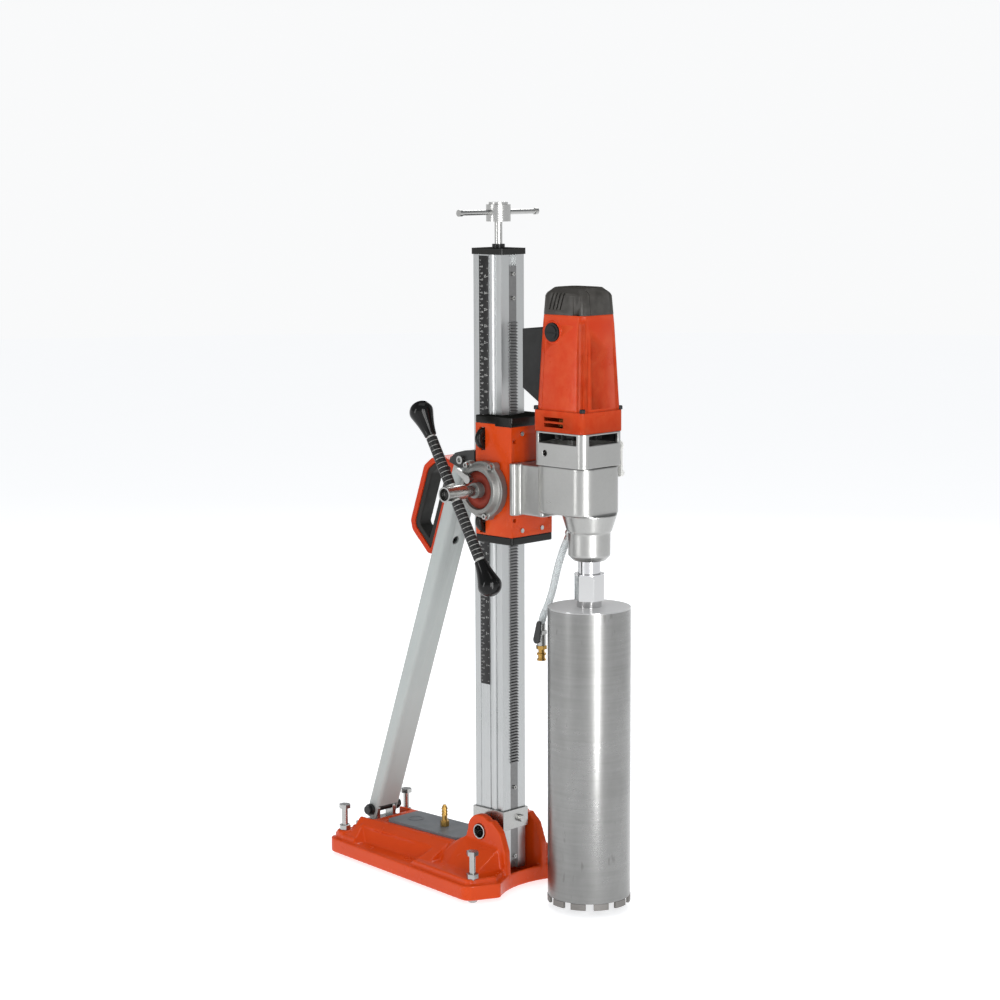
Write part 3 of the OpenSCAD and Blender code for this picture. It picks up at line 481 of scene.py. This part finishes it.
def dress_cad_nodes():
    """Every CAD node takes its slot's material, and a narrow rounded edge where it has hard ones."""
    special = {"crank_bar": "crank_sleeve", "top_cap": "cover_black"}
    for name in ("carriage_lock", "jack_pad", "jack_screw", "tommy_bar", "crank_shaft", "water_inlet"):
        special[name] = "zinc_steel"
    for i in range(1, 5):
        special[f"roller_{i}"] = "cover_black"
    # width of the rounded edge in millimetres
    edge = {"column": 0.5, "column_foot": 0.6, "top_cap": 0.9, "cover_plate": 0.9,
            "brace_bracket": 0.6, "mount_plate": 0.5, "slot_slider": 0.5, "electronics_box": 2.2,
            "jack_screw": 1.0, "jack_pad": 0.5, "tommy_bar": 0.8, "crank_shaft": 0.4, "fork_bolt": 0.6,
            "lock_nuts": 0.7, "column_screws": 0.4, "carriage_screws": 0.3,
            "brush_caps": 0.5, "hose_coupling": 0.35, "valve_body": 0.35, "vacuum_nipple": 0.35,
            "core_bit": 0.4, "spindle": 0.25, "bit_segments": 0.3, "carriage_lock": 0.5,
            "gear_selector": 0.5, "power_switch": 0.5, "valve_lever": 0.3, "pivot_tube": 0.4,
            "gear_head": 0.6, "brace_head": 0.6}
    for i in range(1, 5):
        edge[f"levelling_screw_{i}"] = 0.45
    for name, obj in NODES.items():
        obj.data.materials.clear()
        obj.data.materials.append(M[special.get(name, SLOT_OF[name])])
        if name in edge:
            weld = obj.modifiers.new("weld", "WELD")
            weld.merge_threshold = WELD
            bevel = obj.modifiers.new("bevel", "BEVEL")
            bevel.width = edge[name] * MM
            bevel.segments = 2
            bevel.limit_method = "ANGLE"
            bevel.angle_limit = math.radians(35)
            bevel.use_clamp_overlap = True
            bevel.harden_normals = False
            normals = obj.modifiers.new("normals", "WEIGHTED_NORMAL")
            normals.keep_sharp = True


# ---------------------------------------------------------------- water hose

def make_hose():
    """The short hose from the gear case's nose down to its valve."""
    route = [(-145, 568), (-137, 553), (-129, 534), (-122.5, 515), (-117, 496),
             (-111, 478), (-103, 460), (-95, 445), (-90, 430)]
    steps = 6
    line = []
    for i in range(len(route) - 1):
        a, b, c, d = (Vector(route[max(0, min(len(route) - 1, i + k))]) for k in (-1, 0, 1, 2))
        for k in range(steps):
            t = k / steps
            line.append(0.5 * (2 * b + (c - a) * t + (2 * a - 5 * b + 4 * c - d) * t * t
                               + (3 * b - a - 3 * c + d) * t ** 3))
    line.append(Vector(route[-1]))
    points = [Vector((0, p.x, p.y)) * MM for p in line]
    curve = bpy.data.curves.new("hose_line", "CURVE")
    curve.dimensions = "3D"
    spline = curve.splines.new("POLY")
    spline.points.add(len(points) - 1)
    for target, p in zip(spline.points, points):
        target.co = (*p, 1)
    curve.bevel_depth = 5.75 * MM
    curve.bevel_resolution = 6
    curve.use_fill_caps = True
    curve.materials.append(M["clear_hose"])
    hose = bpy.data.objects.new("water_hose", curve)
    bpy.context.scene.collection.objects.link(hose)
    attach(hose, "carriage")
    stand_for(hose, "hose")


# ---------------------------------------------------------------- castings

def make_base():
    """The base: the CAD casting with swept shoulders at its ears and a step along each side."""
    mesh = cad_mesh("base_casting")
    for side in (-1, 1):
        shoulder = hull(*[(side * x, y, z) for x, y, z in
                          ((47, -50, 30), (47, -42, 72), (47, 34, 78), (47, 62, 62), (47, 70, 36.5),
                           (94, -34, 37), (84, 40, 37), (70, 80, 37), (60, -26, 52), (60, 44, 54))])
        filled = hull(*[(side * x, y, z) for x, y in ((44, 50), (108, 50), (84, 284), (44, 284))
                        for z in (9, 34)])
        mesh = cut(cut(mesh, shoulder, "UNION"), filled, "UNION")
        # flank that slopes from the deck to the rim, with the step let into it
        flank = hull(*[(side * x, y, z) for x, y, z in
                       ((45, 70, 61.5), (45, 262, 61.5), (104, 64, 34), (84, 282, 34), (104, 64, 28),
                        (84, 282, 28), (45, 60, 28), (45, 284, 28))])
        mesh = cut(mesh, flank, "UNION")
        step = hull(*[(side * x, y, z) for x, y, z in
                      ((77, 108, 29.5), (150, 94, 29.5), (150, 262, 29.5), (68, 244, 29.5),
                       (66, 86, 52), (150, 64, 52), (150, 284, 52), (57, 264, 52))])
        mesh = cut(mesh, step)
    mesh = cast(mesh, 1.6, 8, 0.45)
    base = add("base_casting_skin", mesh, "base", M["orange_casting"])
    stand_for(base, "base_casting")


def make_gear_case():
    """The gear case in cast aluminium, with filleted arm, shoulders and nose."""
    mesh = cast(cad_mesh("gear_case"), 1.15, 12, 0.5)
    stand_for(add("gear_case_casting", mesh, "carriage", M["cast_aluminium"]), "gear_case")
    head = cad_mesh("gear_head")
    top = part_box("gear_head")[1].z / MM
    sill, lintel = top - 17.05, top - 2.95
    for x in (-46, 46):
        head = cut(head, block(x - 9, x + 9, -204, -127, sill, lintel))
    head = cut(head, block(-32, 32, -226, -211, sill, lintel))
    mesh = cast(head, 0.8, 4, 0.45)
    stand_for(add("gear_head_casting", mesh, "carriage", M["cast_aluminium"]), "gear_head")


def make_fan():
    """The motor's black cooling fan, seen through the windows under the collar, with black sheets
    behind it as painted shade for the inside.
    """
    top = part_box("gear_head")[1].z / MM
    blades = [lathe([(8, -12.5), (27, -12.5), (30, -9), (30, -3), (8, -1)], (0, MOTOR_Y, top),
                    closed=True)]
    count = 12
    for k in range(count):
        a = 2 * math.pi * k / count
        at = Vector((math.cos(a), math.sin(a), 0))
        across = Vector((-at.y, at.x, 0)) * 0.8
        blades.append(hull(*[Vector((0, MOTOR_Y, top + z)) + at * r + across * s
                             for r in (26, 36.5) for s in (-1, 1) for z in (-12.5, -1.5)]))
    add("motor_fan", joined(blades), "armature", M["black_plastic"], False)
    # painted shade: black sheets inside the head's back wall and far side, which make the inside behind
    # the fan read dark
    shade_sheets = [block(-37.5, 37.5, -121.6, -120.2, top - 17, top - 0.3),
             block(37.2, 38.6, -208, -123, top - 17, top - 0.3)]
    add("fan_window_shade", joined(shade_sheets), "carriage", M["black_plastic"], False)


def make_feed_housing():
    """The round feed housing with a red floor inside its rim."""
    mesh = cast(cad_mesh("feed_housing"), 0.8, 5, 0.5)
    stand_for(add("feed_housing_casting", mesh, "carriage", M["grey_casting"]), "feed_housing")
    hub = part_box("crank_shaft")
    centre = ((hub[0].y + hub[1].y) / 2 / MM, (hub[0].z + hub[1].z) / 2 / MM)
    floor = lathe([(12.4, 0), (29.2, 0), (29.2, 1.2), (12.4, 1.2)], (-63.2, *centre), (1, 0, 0),
                  closed=True)
    add("feed_recess_floor", floor, "carriage", M["recess_red"])


def make_carriage():
    """Carriage shell and its two glossy covers."""
    shell = rounded(cad_mesh("carriage_shell"), 1.6, 3)
    stand_for(add("carriage_shell_casting", shell, "carriage", M["orange_casting"]), "carriage_shell")
    for node in ("carriage_top_cover", "carriage_bottom_cover"):
        mesh = cast(cad_mesh(node), 0.9, 6, 0.5)
        stand_for(add(node + "_moulding", mesh, "carriage", M["cover_black"]), node)


def make_brace():
    """The brace tube, its four long edges well rounded."""
    lean, width, depth, length, r = math.radians(19.35), 50, 25, 632, 7.4
    turn = Matrix.Rotation(lean, 3, "X")
    foot = Vector((0, 276, 71))
    ring = []
    for cx, cy, start in ((1, 1, 0), (-1, 1, 90), (-1, -1, 180), (1, -1, 270)):
        for k in range(9):
            a = math.radians(start + 90 * k / 8)
            ring.append((cx * (width / 2 - r) + r * math.cos(a),
                         cy * (depth / 2 - r) + r * math.sin(a)))
    points = [foot + turn @ Vector((x, y, z)) for z in (-20, length + 5) for x, y in ring]
    mesh = cut(cad_mesh("brace_tube"), hull(*points), "INTERSECT")
    tube = add("brace_tube_section", rounded(mesh, 0.35, 2, 50), "brace", M["brace_tube"])
    stand_for(tube, "brace_tube")


def make_handle():
    """The D-handle: orange outer bow with a soft inner grip."""
    stand_for(add("carry_handle_bow", cast(cad_mesh("carry_handle"), 1.0, 14, 0.5), "brace",
                  M["orange_plastic"]), "carry_handle")
    stand_for(add("handle_grip_pad", cast(cad_mesh("handle_grip"), 1.0, 14, 0.5), "brace",
                  M["black_rubber"]), "handle_grip")


def make_grips():
    """The two pear-shaped crank grips."""
    profile = [(0.01, 0), (8.6, 0), (9.4, 0.6), (9.6, 2), (10.2, 7), (11.3, 13), (12.9, 20), (14.9, 27),
               (17.0, 33.5), (18.5, 38), (18.95, 41.5), (18.3, 45.5), (16.6, 49.5), (14.0, 53),
               (10.4, 55.8), (6.0, 57.4), (2.0, 57.95), (0.01, 58)]
    low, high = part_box("crank_grips")
    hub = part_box("crank_shaft")
    centre = Vector(((low.x + high.x) / 2, (hub[0].y + hub[1].y) / 2, (hub[0].z + hub[1].z) / 2)) / MM
    lean = math.radians(30)
    along = Vector((0, math.sin(lean), math.cos(lean)))
    shapes = [lathe(profile, centre + along * 97.5, along),
              lathe(profile, centre - along * 112.5, -along)]
    mesh = modified(joined(shapes), ("SUBSURF", {"levels": 1, "render_levels": 1}))
    # painted shade: a black disc set inside the hub's end hole, which makes the hole read dark
    hole_shade = lathe([(0.01, 0), (9.3, 0), (9.3, 1.5), (0.01, 1.5)],
                 (hub[0].x / MM + 3.5, centre.y, centre.z), (1, 0, 0))
    add("crank_hole_shade", hole_shade, "crank", M["cover_black"])
    stand_for(add("crank_grip_pair", mesh, "crank", M["black_grip"]), "crank_grips")


# ---------------------------------------------------------------- motor

def corner(a, b, r, crest):
    """One corner of the motor shell's outline from its side towards its front, as [x, y] from the
    outline's corner: a rounded corner, with a raised crest of that height."""
    lift = [0, -0.4, 0.9, 1.0, -0.2, 1.0, 0.7, -0.5, 0]
    count = len(lift) - 1
    points = []
    for k in range(count + 1):
        t = math.pi / 2 * k / count
        points.append([r - r * math.cos(t), r - r * math.sin(t)])
    out = []
    for (x, y), push in zip(points, lift):
        away = Vector((r - x, r - y)).normalized() if r > 0 else Vector((0, 0))
        out.append(Vector((x, y)) - away * push * crest)
    return [Vector((a, b)) - p for p in out]


def motor_outline(a, front, back, r, crest, z):
    """A ring of points: half width a, front and back along Y, corner radius r."""
    half = (back - front) / 2
    middle = (back + front) / 2
    quarter = corner(a, half, r, crest)
    ring = [(-p.x, -p.y) for p in quarter] + [(p.x, -p.y) for p in reversed(quarter)]
    ring += [(p.x, p.y) for p in quarter] + [(-p.x, p.y) for p in reversed(quarter)]
    return [(x, y + middle, z) for x, y in ring]


def loft(rings):
    """An open shell through rings that have the same number of points."""
    points = [p for ring in rings for p in ring]
    n = len(rings[0])
    faces = []
    for i in range(len(rings) - 1):
        for k in range(n):
            a, b = i * n, (i + 1) * n
            faces.append((a + k, a + (k + 1) % n, b + (k + 1) % n, b + k))
    return mesh_of(points, faces)


def make_motor_housing():
    """Collar and tapered shell of the motor as one moulding, with creased corners."""
    low, high = (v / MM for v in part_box("motor_housing"))
    shoulder = low.z + 32.5
    front, back = low.y, high.y
    a = high.x
    foot_front, foot_back, foot_a = -216, -119.5, 43.6
    top_front, top_back, top_a = -211.3, -124.2, 37.6

    def body(t, crest):
        """Outline of the tapered part at height t, from 0 at the shoulder to 1 at the top."""
        return motor_outline(foot_a + (top_a - foot_a) * t, foot_front + (top_front - foot_front) * t,
                             foot_back + (top_back - foot_back) * t, 14, crest,
                             shoulder + (high.z - shoulder) * t)

    rings = [motor_outline(a, front, back, 7, 0, low.z + 0.05),
             motor_outline(a, front, back, 7, 0, shoulder - 1.6),
             motor_outline(a - 0.5, front + 0.5, back - 0.5, 7, 0, shoulder - 0.5),
             motor_outline(a - 1.6, front + 1.6, back - 1.6, 7, 0, shoulder)]
    rings += [body(t, crest) for t, crest in ((0.0, 1.6), (0.02, 2.4), (0.3, 2.0), (0.6, 1.6),
                                              (0.9, 1.1), (0.985, 0.6), (1.0, 0.3))]
    mesh = loft(rings)
    mesh = modified(mesh, ("SOLIDIFY", {"thickness": 2.6 * MM, "offset": -1, "use_even_offset": False}))
    for z in (low.z + 7, low.z + 16):
        for x in (-a, a):
            slot = rounded(block(x - 12, x + 12, -178, -139, z, z + 6), 1.8, 3)
            mesh = cut(mesh, slot)
    # parting line of the side shell
    for y, inward in ((foot_front, 3.4), (foot_back, 4)):
        mesh = cut(mesh, block(PARTING_X - 0.3, PARTING_X + 0.3, y - inward, y + 3.4,
                               shoulder + 4, high.z + 1))
    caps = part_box("brush_caps")
    cap_z = (caps[0].z + caps[1].z) / 2 / MM
    for side, y in BRUSH_SEATS:
        mesh = cut(mesh, lathe([(9.4, -12), (9.4, 12)], (side * 38, y, cap_z), (1, 0, 0), 48))
    shell = modified(mesh, ("BEVEL", {"width": 0.5 * MM, "segments": 2, "limit_method": "ANGLE",
                                      "angle_limit": math.radians(40)}))
    housing = add("motor_housing_shell", shell, "carriage", M["orange_plastic"])
    stand_for(housing, "motor_housing")
    # raised seat round each brush cap
    seat_profile = [(9.6, -1), (18.6, -1), (18.2, 1.6), (17.2, 2.9), (16.0, 3.3), (14.9, 3.3),
                    (14.4, 2.6), (14.3, 0.6), (9.6, 0.6)]
    for i, (side, y) in enumerate(BRUSH_SEATS, 1):
        seat = lathe(seat_profile, (side * 36.6, y, cap_z), (side, 0, 0), 72, True)
        add(f"brush_seat_{i}", rounded(seat, 0.3), "carriage", M["orange_plastic"])
    # black socket screws on the collar's corners
    head_profile = [(2.0, 2.8), (2.0, 4.6), (3.2, 5.4), (4.1, 5.0), (4.3, 4.2), (4.3, -0.4),
                    (0.01, -0.4), (0.01, 2.8)]
    for i, (x, y) in enumerate([(x, y) for y in (-213.6, -119.8) for x in (-41.6, 41.6)], 1):
        head = lathe(head_profile, (x, y, shoulder), sides=32)
        add(f"collar_screw_{i}", head, "carriage", M["black_plastic"])


def make_motor_cap():
    """The cap over the brushes: chamfered top, slanted vents and a parting line."""
    low, high = (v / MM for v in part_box("motor_cap"))
    # half width, front, back, corner radius, crest, height
    outlines = ((37.4, -211.1, -124.4, 14, 0.6, low.z),
                (37.2, -210.9, -124.6, 14, 1.2, low.z + 1),
                (35.6, -209.0, -126.2, 14, 1.2, high.z - 13),
                (35.0, -208.4, -126.8, 14, 0.8, high.z - 10.6),
                (33.6, -207.0, -128.2, 13, 0.5, high.z - 8.2),
                (27.5, -201.0, -134.0, 12, 0, high.z - 2.2),
                (25.5, -199.0, -136.0, 12, 0, high.z - 0.5),
                (22.5, -196.0, -139.0, 11, 0, high.z))
    rings = [motor_outline(*outline) for outline in outlines]
    shell = loft(rings)
    bm = bmesh.new()
    bm.from_mesh(shell)
    bmesh.ops.holes_fill(bm, edges=[e for e in bm.edges if e.is_boundary])
    bmesh.ops.recalc_face_normals(bm, faces=bm.faces)
    mesh = bpy.data.meshes.new("cap")
    bm.to_mesh(mesh)
    bm.free()
    for i in range(4):
        y = -147 - 7.2 * i
        vent = hull(*[(x, y + w + lean, z) for x in (-60, -22) for w in (0, 2.9)
                      for z, lean in ((low.z + 7.5, 3.5), (high.z - 8.5, -3.5))])
        mesh = cut(mesh, rounded(vent, 0.8))
    # parting line: a shallow groove over the front, top and back
    groove = block(PARTING_X - 0.6, PARTING_X + 0.6, low.y - 20, high.y + 20, low.z - 1, high.z + 1)
    keep = hull(*[(x, y, z) for x in (-23, -19) for y, z in
                  ((-209.2, low.z - 2), (-207.4, high.z - 10), (-200.0, high.z - 3.4),
                   (-198.6, high.z - 0.9), (-136.4, high.z - 0.9), (-135.0, high.z - 3.4),
                   (-127.8, high.z - 10), (-126.2, low.z - 2))])
    mesh = cut(mesh, cut(groove, keep))
    panel = hull(*[(x, y, z) for x in (-60, -35.4) for y in (-203, -190)
                   for z in (low.z - 2, high.z - 11.5)])
    mesh = cut(mesh, panel)
    mesh = modified(mesh, ("BEVEL", {"width": 0.4 * MM, "segments": 2, "limit_method": "ANGLE",
                                     "angle_limit": math.radians(38)}))
    stand_for(add("motor_cap_moulding", mesh, "carriage", M["cap_grey"]), "motor_cap")


# ---------------------------------------------------------------- rollers

def make_rollers():
    """Crowned guide rollers with dished sides, on their steel axles."""
    for i in range(1, 5):
        node = f"roller_{i}"
        low, high = (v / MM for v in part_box(node))
        centre = Vector(((low.x + high.x) / 2, -7.5, (low.z + high.z) / 2))
        r = (high.z - low.z) / 2
        half = 5.4
        lower = [(3.2, 1.6 - half), (6.5, 1.6 - half), (7.4, -half), (r - 3.4, -half),
                 (r - 1.6, 0.5 - half), (r - 0.5, 1.8 - half), (r - 0.05, 4 - half)]
        profile = lower + [(r, 0)] + [(x, -z) for x, z in reversed(lower)]
        wheel = lathe(profile, centre, (0, 1, 0), 72, True)
        pin = [(2.0, low.y + 0.05), (2.5, low.y + 0.6), (2.5, high.y - 0.6), (2.0, high.y - 0.05)]
        axle = lathe(pin, (centre.x, 0, centre.z), (0, 1, 0), 32)
        wheel = modified(wheel, ("SUBSURF", {"levels": 1, "render_levels": 1}))
        stand_for(add(f"{node}_wheel", wheel, node, M["cover_black"]), node)
        add(f"{node}_axle", axle, node, M["zinc_steel"])


# ---------------------------------------------------------------- ruler

def make_ruler():
    """A printed strip in the column's bed on each side, graduated in centimetres and inches."""
    column = [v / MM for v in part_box("column")]
    bottom, top = 324, column[1].z - 2
    centimetre, inch = 10, 25.4
    for side, label in ((-1, "left"), (1, "right")):
        x = side * column[1].x
        strip = rounded(block(x - side * 0.55, x - side * 0.05, -1.8, 17.8, bottom, top), 0.12)
        add(f"ruler_{label}", strip, "column", M["ruler_black"])
        rear, front = (16.8, -0.8) if side < 0 else (-0.8, 16.8)
        inward = -1 if side < 0 else 1
        marks = []
        for pitch, start, way in ((centimetre / 2, rear, inward), (inch / 2, front, -inward)):
            for i in range(int((top - bottom - 6) / pitch)):
                z = bottom + 5 + pitch * i
                reach = 3.2 if i % 2 == 0 else 2
                marks.append(block(x - side * 0.07, x, start, start + way * reach, z - 0.25, z + 0.25))
        add(f"ruler_marks_{label}", joined(marks), "column", M["ruler_white"], False)
        numbers = []
        scales = [(str(i + 1), rear + inward * 5.4, bottom + 15 + centimetre * i, 4.2)
                  for i in range(int((top - bottom - 20) / centimetre))]
        scales += [(str(i + 1), front - inward * 5.6, bottom + 30.4 + inch * i, 5.4)
                   for i in range(int((top - bottom - 34) / inch))]
        for body, y, z, size in scales:
            number = bpy.data.curves.new("number", "FONT")
            number.body = body
            number.size = size * MM
            number.extrude = 0.03 * MM
            number.resolution_u = 2
            number.align_x = "CENTER"
            number.align_y = "CENTER"
            holder = bpy.data.objects.new("number", number)
            bpy.context.scene.collection.objects.link(holder)
            graph = bpy.context.evaluated_depsgraph_get()
            mesh = bpy.data.meshes.new_from_object(holder.evaluated_get(graph), depsgraph=graph)
            bpy.data.objects.remove(holder)
            turn = Matrix(((0, 0, side), (side, 0, 0), (0, 1, 0)))
            mesh.transform(Matrix.Translation(Vector((x - side * 0.03, y, z)) * MM) @ turn.to_4x4())
            numbers.append(mesh)
        add(f"ruler_numbers_{label}", joined(numbers), "column", M["ruler_white"],
            False)


# ---------------------------------------------------------------- studio

def make_studio():
    """A wide pale floor, soft lamps, an even sky, and a strip of light for the bit to mirror."""
    points, faces, rings, sides = [(0, 0, 0)], [], (1.5, 4, 12), 48
    for r in rings:
        points += [(r * math.cos(2 * math.pi * k / sides), r * math.sin(2 * math.pi * k / sides), 0)
                   for k in range(sides)]
    faces += [(0, 1 + k, 1 + (k + 1) % sides) for k in range(sides)]
    for i in range(len(rings) - 1):
        a, b = 1 + i * sides, 1 + (i + 1) * sides
        faces += [(a + k, b + k, b + (k + 1) % sides, a + (k + 1) % sides) for k in range(sides)]
    mesh = bpy.data.meshes.new("floor")
    mesh.from_pydata(points, [], faces)
    s = Surface("studio_floor", roughness=0.9)
    s.colour(s.mix(s.noise(3), (0.55, 0.555, 0.56), (0.57, 0.575, 0.58)))
    s.shader.inputs["Emission Color"].default_value = (0.985, 0.99, 1.0, 1)
    s.shader.inputs["Emission Strength"].default_value = 0.76
    s.shader.inputs["Specular IOR Level"].default_value = 0.0
    mesh.materials.append(s.material)
    floor = bpy.data.objects.new("studio_floor", mesh)
    bpy.context.scene.collection.objects.link(floor)

    def lamp(name, place, target, power, width, height):
        """A soft box that the camera itself doesn't see."""
        data = bpy.data.lights.new(name, "AREA")
        data.shape = "RECTANGLE"
        data.size, data.size_y = width, height
        data.energy = power
        light = bpy.data.objects.new(name, data)
        aim = (Vector(target) - Vector(place)).to_track_quat("-Z", "Y")
        light.matrix_world = Matrix.Translation(place) @ aim.to_matrix().to_4x4()
        light.visible_camera = False
        bpy.context.scene.collection.objects.link(light)
        return light

    # seen in reflections only
    strip = lamp("strip", (-0.37, -0.94, 0.61), (0, -0.17, 0.61), 5, 0.13, 1.2)
    strip.visible_diffuse = False
    middle = (0, 0, 0.55)
    lamp("key", (-1.75, -2.85, 1.25), middle, 46, 0.8, 2.4)
    lamp("side", (-3.2, 0.9, 1.3), middle, 24, 0.6, 2.4)
    lamp("rim", (2.4, 1.6, 2.2), middle, 30, 0.9, 2.0)
    lamp("top", (0.3, 0.2, 3.2), middle, 36, 2.0, 2.0)
    world = bpy.data.worlds.new("studio")
    bpy.context.scene.world = world
    world.use_nodes = True
    tree = world.node_tree
    back = tree.nodes["Background"]
    back.inputs["Strength"].default_value = 1.0
    where = tree.nodes.new("ShaderNodeTexCoord")
    split = tree.nodes.new("ShaderNodeSeparateXYZ")
    # bright at the horizon, dimmer overhead
    ramp = tree.nodes.new("ShaderNodeValToRGB")
    ramp.color_ramp.elements[0].position = 0.53
    ramp.color_ramp.elements[0].color = (0.95, 0.955, 0.96, 1)
    ramp.color_ramp.elements[1].position = 0.62
    ramp.color_ramp.elements[1].color = (0.32, 0.33, 0.34, 1)
    half = tree.nodes.new("ShaderNodeMath")
    half.operation = "MULTIPLY_ADD"
    half.inputs[1].default_value = 0.5
    half.inputs[2].default_value = 0.5
    tree.links.new(where.outputs["Generated"], split.inputs[0])
    tree.links.new(split.outputs["Z"], half.inputs[0])
    tree.links.new(half.outputs[0], ramp.inputs[0])
    tree.links.new(ramp.outputs[0], back.inputs["Color"])
    bpy.context.scene.view_settings.view_transform = "Standard"


make_camera()
dress_cad_nodes()
make_hose()
make_base()
make_gear_case()
make_fan()
make_feed_housing()
make_carriage()
make_brace()
make_handle()
make_grips()
make_motor_housing()
make_motor_cap()
make_rollers()
make_ruler()
make_studio()
